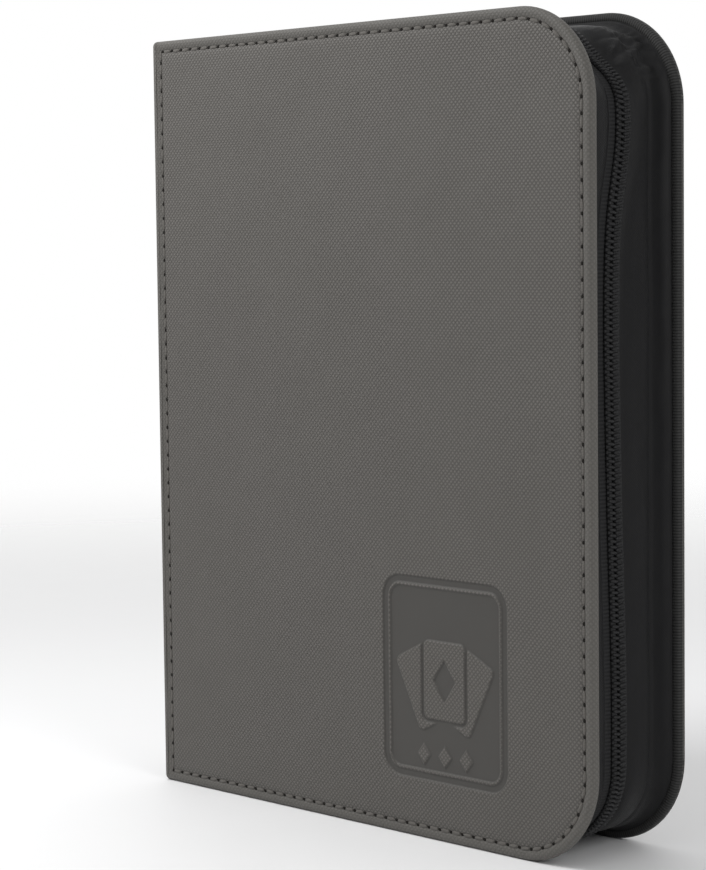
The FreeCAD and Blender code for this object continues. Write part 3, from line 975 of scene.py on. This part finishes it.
# %% Zip tapes
tape_in = TAPE_INSET * 1000
strip(
    "front_zip_cloth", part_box("front_zip_tape")[0].x,
    [(tape_in + 0.05, FRONT_WALL - 4.0 * MM, 1), (tape_in + 0.03, FRONT_WALL, 1),
     (tape_in - 0.4, ZIP_CENTRE - 3.2 * MM, 1), (tape_in - 0.45, ZIP_CENTRE - 0.5 * MM, 1)],
    TAPE, CLOTH_THICKNESS, "front_cover", ["front_zip_tape"],
)
strip(
    "back_zip_cloth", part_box("back_zip_tape")[0].x,
    [(tape_in - 0.45, ZIP_CENTRE + 0.5 * MM, 1), (tape_in - 0.4, ZIP_CENTRE + 3.2 * MM, 1),
     (tape_in + 0.03, BACK_WALL, 1), (tape_in + 0.05, BACK_WALL + 4.0 * MM, 1)],
    TAPE, CLOTH_THICKNESS, "back_cover", ["back_zip_tape"],
)

# %% [markdown]
# ### Back gusset and edge ribbon
#
# The wide gusset has a faint sewn seam along it, where the cloth dips and turns. It could be a line in the
# material, but the light shows it as a step, so it is part of the profile. A ribbed ribbon binds the back
# cover's edge.

# %% Back gusset
SEAM = 29.5 * MM
strip(
    "back_gusset_cloth", gusset_x,
    [(5.45, BACK_WALL - 1.2 * MM, 1), (5.1, BACK_WALL - 0.5 * MM, 1), (4.75, BACK_WALL + 0.4 * MM, 0.95),
     (4.3, BACK_WALL + 2.5 * MM, 0.7),
     (4.05, SEAM - 2.5 * MM, 0.25), (4.15, SEAM - 0.8 * MM, 0.05), (4.45, SEAM - 0.1 * MM, 0),
     (4.45, SEAM + 0.2 * MM, 0), (4.1, SEAM + 0.8 * MM, 0), (4.05, SEAM + 3.0 * MM, 0),
     (3.75, THICK - COVER - 2.4 * MM, 0), (3.1, THICK - COVER - 1.0 * MM, 0),
     (2.6, THICK - COVER - 0.3 * MM, 0), (2.2, THICK - COVER - 0.06 * MM, 0)],
    SATIN, CLOTH_THICKNESS, "back_cover", ["back_gusset"], crumple=0.6,
)

# %% Edge ribbon
strip(
    "back_edge_ribbon", SKIN_EDGE + 1.5 * MM,
    [(2.7, THICK - 3.74 * MM, 0), (1.3, THICK - 3.72 * MM, 0), (0.5, THICK - 3.5 * MM, 0),
     (0.12, THICK - 3.0 * MM, 0), (0.02, THICK - 2.4 * MM, 0), (0.02, THICK - 1.5 * MM, 0),
     (0.15, THICK - 0.95 * MM, 0)],
    RIBBON, 0.12 * MM, "back_cover", [],
)

# %% [markdown]
# ## The coil
#
# Each half of the coil is one nylon thread wound round a cord, and reads as a row of rounded loops across the
# tape. A true helix would need a very long thin tube, so one small loop is made and repeated at every pitch
# along the rail. The two rows are half a pitch apart, so they mesh. The loops beside the spine stay joined
# and belong to the back cover.

# %% One loop, many places
COIL_PITCH = 1.6 * MM
COIL_REACH = 2.9 * MM
COIL_HEIGHT = 1.9 * MM
COIL_WIRE = 1.02 * MM
COIL_SLANT = math.radians(9)
COIL_OVERLAP = 0.18 * MM


def loop_mesh():
    """One loop of the coil: a small block with its edges rounded off."""
    bm, _ = new_mesh()
    bmesh.ops.create_cube(bm, size=1, matrix=Matrix.Diagonal((COIL_WIRE, COIL_REACH, COIL_HEIGHT, 1)))
    bmesh.ops.bevel(
        bm, geom=bm.edges[:], offset=0.42 * MM, affect="EDGES", segments=1, profile=0.5, material=-1
    )
    mesh = bpy.data.meshes.new("coil_loop")
    bm.to_mesh(mesh)
    bm.free()
    return mesh


LOOP = loop_mesh()
print("faces in one loop", len(LOOP.polygons))


# %% Rows of loops
def coil(name, start_x, phase, side, body, node, keep=lambda row: True):
    """A row of loops along the rail; side is -1 for the front half and 1 for the back half."""
    rows = rail(start_x, 1 * MM)
    drift, gather = zip_path(rows)
    total = rows[-1, 4]
    bm, _ = new_mesh()
    run = phase * COIL_PITCH
    while run < total:
        row = np.array([np.interp(run, rows[:, 4], rows[:, c]) for c in range(4)] + [run])
        shift, sink = (float(np.interp(run, rows[:, 4], values)) for values in (drift, gather))
        if keep(row):
            normal = Vector((row[2], 0, row[3])).normalized()
            depth = ZIP_CENTRE + shift + side * (COIL_REACH / 2 - COIL_OVERLAP)
            middle = rail_point(row, COIL_INSET + COIL_HEIGHT / 2 + sink, depth)
            across = Vector((0, 1, 0))
            along = across.cross(normal)
            turn = Matrix((along, across, normal)).transposed().to_4x4()
            slant = Matrix.Rotation(side * COIL_SLANT, 4, "Z")
            first = len(bm.verts)
            bm.from_mesh(LOOP)
            bm.verts.ensure_lookup_table()
            matrix = Matrix.Translation(middle) @ turn @ slant
            bmesh.ops.transform(bm, matrix=matrix, verts=bm.verts[first:])
        run += COIL_PITCH
    obj = made(bm, name, COIL, outward=False)
    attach(obj, body)
    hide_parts(node)
    print(name, "faces", len(obj.data.polygons))


joined_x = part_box("zip_joined_coil_ends")[1].x
zip_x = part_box("back_zip_coil")[0].x
front_coil_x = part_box("front_zip_coil")[0].x
coil("back_coil_loops", zip_x, 0.35, 1, "back_cover", "back_zip_coil")
coil(
    "front_coil_loops", zip_x, 0.85, -1, "front_cover", "front_zip_coil",
    keep=lambda row: row[0] > front_coil_x,
)
coil(
    "joined_coil_loops", zip_x, 0.85, -1, "back_cover", "zip_joined_coil_ends",
    keep=lambda row: row[0] < joined_x,
)

# %% Cords inside the coil
CORD_PROFILE = ((1.2, 0.56), (0.72, 0.75), (0.60, 1.55), (0.72, 2.35), (1.2, 2.60))
coil_in = COIL_INSET * 1000
for name, start_x, side, body in (
    ("back_coil_cord", zip_x, 1, "back_cover"), ("front_coil_cord", front_coil_x, -1, "front_cover")
):
    strip(
        name, start_x,
        [(coil_in + crest, ZIP_CENTRE + side * across * MM, 1) for crest, across in CORD_PROFILE],
        COIL, 0.5 * MM, body, [],
    )

# %% [markdown]
# ### End tabs
#
# A short piece of doubled tape bridges the zip at each end beside the spine. It is flat and stiff, so a
# bevelled slab is enough.

# %% End tabs
for name, node in (("top_end_tab", "zip_end_tab_top"), ("bottom_end_tab", "zip_end_tab_bottom")):
    low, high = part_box(node)
    tab = box_piece(name, low, high, 0.18 * MM, TAPE, (0, 1))
    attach(tab, "back_cover")
    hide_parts(node)
    print(name, "size in mm", [round(1000 * v, 1) for v in high - low])

# %% [markdown]
# ## Leaves
#
# A leaf is a thin black sheet with two columns of clear pockets on each face, welded along the top, the
# middle, the bottom and the edge away from the spine. One block per leaf would look solid where light
# should pass, so sheet, welds and films are separate pieces, and the film is nearly clear.

# %% Build every leaf
SHEET_HALF, CARD_GAP, FILM_THICK = 0.125 * MM, 0.35 * MM, 0.15 * MM
BINDING_MARGIN, COLUMN, ENTRY = 10 * MM, 73.5 * MM, 1.5 * MM
WELD_WIDTH, WELD_HEIGHT = 3 * MM, 4 * MM
LEAF_CORNER = 3 * MM


def slab(bm, low, high):
    """Adds a plain box between two corners."""
    low, high = Vector(low), Vector(high)
    matrix = Matrix.Translation((low + high) / 2) @ Matrix.Diagonal((*(high - low), 1))
    bmesh.ops.create_cube(bm, size=1, matrix=matrix)


def leaf(number):
    """The sheet, welds and films of one leaf."""
    node = f"leaf_{number:02d}"
    low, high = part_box(node)
    middle = (low.y + high.y) / 2
    half_way = (low.z + high.z) / 2
    bm, _ = new_mesh()
    slab(bm, (low.x, middle - SHEET_HALF, low.z), (high.x, middle + SHEET_HALF, high.z))
    ends = [(edge, edge.verts[0].co, edge.verts[1].co) for edge in bm.edges]
    corners = [edge for edge, a, b in ends if abs(a.y - b.y) > 1e-6 and a.x > 0]
    bmesh.ops.bevel(
        bm, geom=corners, offset=LEAF_CORNER, affect="EDGES", segments=5, profile=0.5, material=-1
    )
    sheet = made(bm, f"leaf_sheet_{number:02d}", SHEET, smooth=False)
    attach(sheet, node)
    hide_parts(node)

    welds, _ = new_mesh()
    films, _ = new_mesh()
    for way in (-1, 1):
        inner = middle + way * SHEET_HALF
        outer = inner + way * (CARD_GAP + 0.5 * FILM_THICK)
        skin = outer + way * 0.5 * FILM_THICK
        for column in range(2):
            begin = low.x + BINDING_MARGIN + column * COLUMN
            end = begin + COLUMN - ENTRY
            seam = end - WELD_WIDTH
            spans = [(seam, end, low.z, high.z)]
            for z0 in (low.z, half_way - WELD_HEIGHT / 2, high.z - WELD_HEIGHT):
                spans.append((begin, seam, z0, z0 + WELD_HEIGHT))
            for x0, x1, z0, z1 in spans:
                slab(welds, (x0, min(inner, outer), z0), (x1, max(inner, outer), z1))
            slab(films, (begin, min(outer, skin), low.z), (end, max(outer, skin), high.z))
    weld = made(welds, f"leaf_welds_{number:02d}", WELD, smooth=False)
    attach(weld, node)
    film = made(films, f"leaf_films_{number:02d}", FILM, smooth=False)
    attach(film, node)


leaf_count = sum(name.startswith("leaf_") for name in frame["nodes"])
for number in range(1, leaf_count + 1):
    leaf(number)
print("leaves", leaf_count)

# %% [markdown]
# ## CAD parts that stay
#
# The slider, its pull tab, the stops, the binding comb, the boards and the padding have the right shape
# already, so they are kept as the CAD has them. A cast part has soft edges that catch the light, and a live
# Bevel modifier gives them without touching the mesh.

# %% Dress the CAD nodes
FINISHES = {
    "zip_slider_body": METAL, "zip_slider_crown": METAL, "zip_pull_tab": METAL, "zip_end_stops": METAL,
    "page_binding": BINDING, "front_cover_board": BOARD, "back_cover_board": BOARD,
    "front_cover_foam": FOAM, "back_cover_foam": FOAM,
}
for name, finish in FINISHES.items():
    node = frame["nodes"][name]
    node.data.materials.clear()
    node.data.materials.append(finish)
    if finish is METAL:
        softened = node.modifiers.new("softened", "BEVEL")
        softened.width = 0.14 * MM
        softened.segments = 3
        softened.limit_method = "ANGLE"
        softened.angle_limit = math.radians(35)
print("CAD nodes dressed", len(FINISHES))

# %% [markdown]
# ## Stage
#
# The binder stands on a pale floor that takes a soft shadow. A plane that ends shows a hard horizon, so the
# floor fades out with the distance from its middle and the pale sky shows instead.

# %% Stage
FLOOR_HALF = 6
bm, _ = new_mesh()
bmesh.ops.create_grid(bm, x_segments=2, y_segments=2, size=FLOOR_HALF)
floor_material = moulded("pale_floor", (0.84, 0.84, 0.85), (0.86, 0.86, 0.86), 0.6, 40, 0.01)
tree = floor_material.node_tree
from_middle = tree.nodes.new("ShaderNodeVectorMath")
from_middle.operation = "LENGTH"
tree.links.new(tree.nodes.new("ShaderNodeTexCoord").outputs["Object"], from_middle.inputs[0])
fade = tree.nodes.new("ShaderNodeMapRange")
fade.interpolation_type = "SMOOTHSTEP"
for name, value in (("From Min", 0.22), ("From Max", 1.15), ("To Min", 1.0), ("To Max", 0.0)):
    fade.inputs[name].default_value = value
tree.links.new(from_middle.outputs["Value"], fade.inputs["Value"])
tree.links.new(fade.outputs["Result"], tree.nodes["Principled BSDF"].inputs["Alpha"])
floor = made(bm, "floor", floor_material, outward=False)
print("floor across in m", 2 * FLOOR_HALF)

# %% [markdown]
# ## Sky
#
# In a studio the walls light the object from all round. An even white sky would do, but the covers would
# lose their shape, so the sky is brightest behind the binder, softer overhead and dark on the near side.

# %% Sky
world = bpy.data.worlds.new("studio")
bpy.context.scene.world = world
world.use_nodes = True
sky = world.node_tree


def toward(direction, low, high):
    """How far a direction of the sky lies toward another one, from 0 to 1."""
    dot = sky.nodes.new("ShaderNodeVectorMath")
    dot.operation = "DOT_PRODUCT"
    sky.links.new(sky.nodes.new("ShaderNodeTexCoord").outputs["Generated"], dot.inputs[0])
    dot.inputs[1].default_value = direction
    ramp = sky.nodes.new("ShaderNodeMapRange")
    ramp.interpolation_type = "SMOOTHSTEP"
    ramp.inputs["From Min"].default_value = low
    ramp.inputs["From Max"].default_value = high
    sky.links.new(dot.outputs["Value"], ramp.inputs["Value"])
    return ramp.outputs["Result"]


behind = calc(sky, "MULTIPLY_ADD", toward((-0.69, 0.72, 0.0), -0.1, 0.6), 0.74, 0.26)
above = toward((0.0, 0.0, 1.0), 0.3, 0.95)
level = calc(sky, "MULTIPLY_ADD", calc(sky, "SUBTRACT", 0.75, behind), above, behind)
sky.links.new(level, sky.nodes["Background"].inputs["Strength"])
sky.nodes["Background"].inputs["Color"].default_value = (1.0, 1.0, 1.0, 1.0)
print("sky nodes", len(sky.nodes))

# %% [markdown]
# ## Lights and camera
#
# A small key light from high on the left draws the grain and the stitches, and a side light from the front
# right picks the coil out of the black gusset. Sun lamps would light both sides alike, so these are area
# lights.
# The camera has a long lens and stands a little above the middle of the fore edge.

# %% Lights
def area_light(name, place, target, size, power):
    """A square light that points at its target."""
    light = bpy.data.lights.new(name, "AREA")
    light.size = size
    light.energy = power
    obj = bpy.data.objects.new(name, light)
    obj.location = place
    obj.rotation_euler = (Vector(target) - Vector(place)).to_track_quat("-Z", "Y").to_euler()
    bpy.context.scene.collection.objects.link(obj)
    print(name, "light", power, "W")


area_light("side", (0.72, -0.16, 0.40), (0.09, 0, 0.13), 0.35, 1.7)
area_light("key", (-0.25, -0.30, 0.54), (-0.02, 0, 0.17), 0.25, 2.47)

# %% Camera
camera_data = bpy.data.cameras.new("camera")
camera_data.sensor_width = 36
camera_data.lens = 105.088
camera = bpy.data.objects.new("camera", camera_data)
camera.location = (0.545378, -0.544607, 0.177334)
camera.rotation_euler = [math.radians(a) for a in (85.50308, 0.68232, 46.13233)]
bpy.context.scene.collection.objects.link(camera)
bpy.context.scene.camera = camera
bpy.context.scene.view_settings.view_transform = "Standard"
print("camera lens in mm", camera_data.lens)
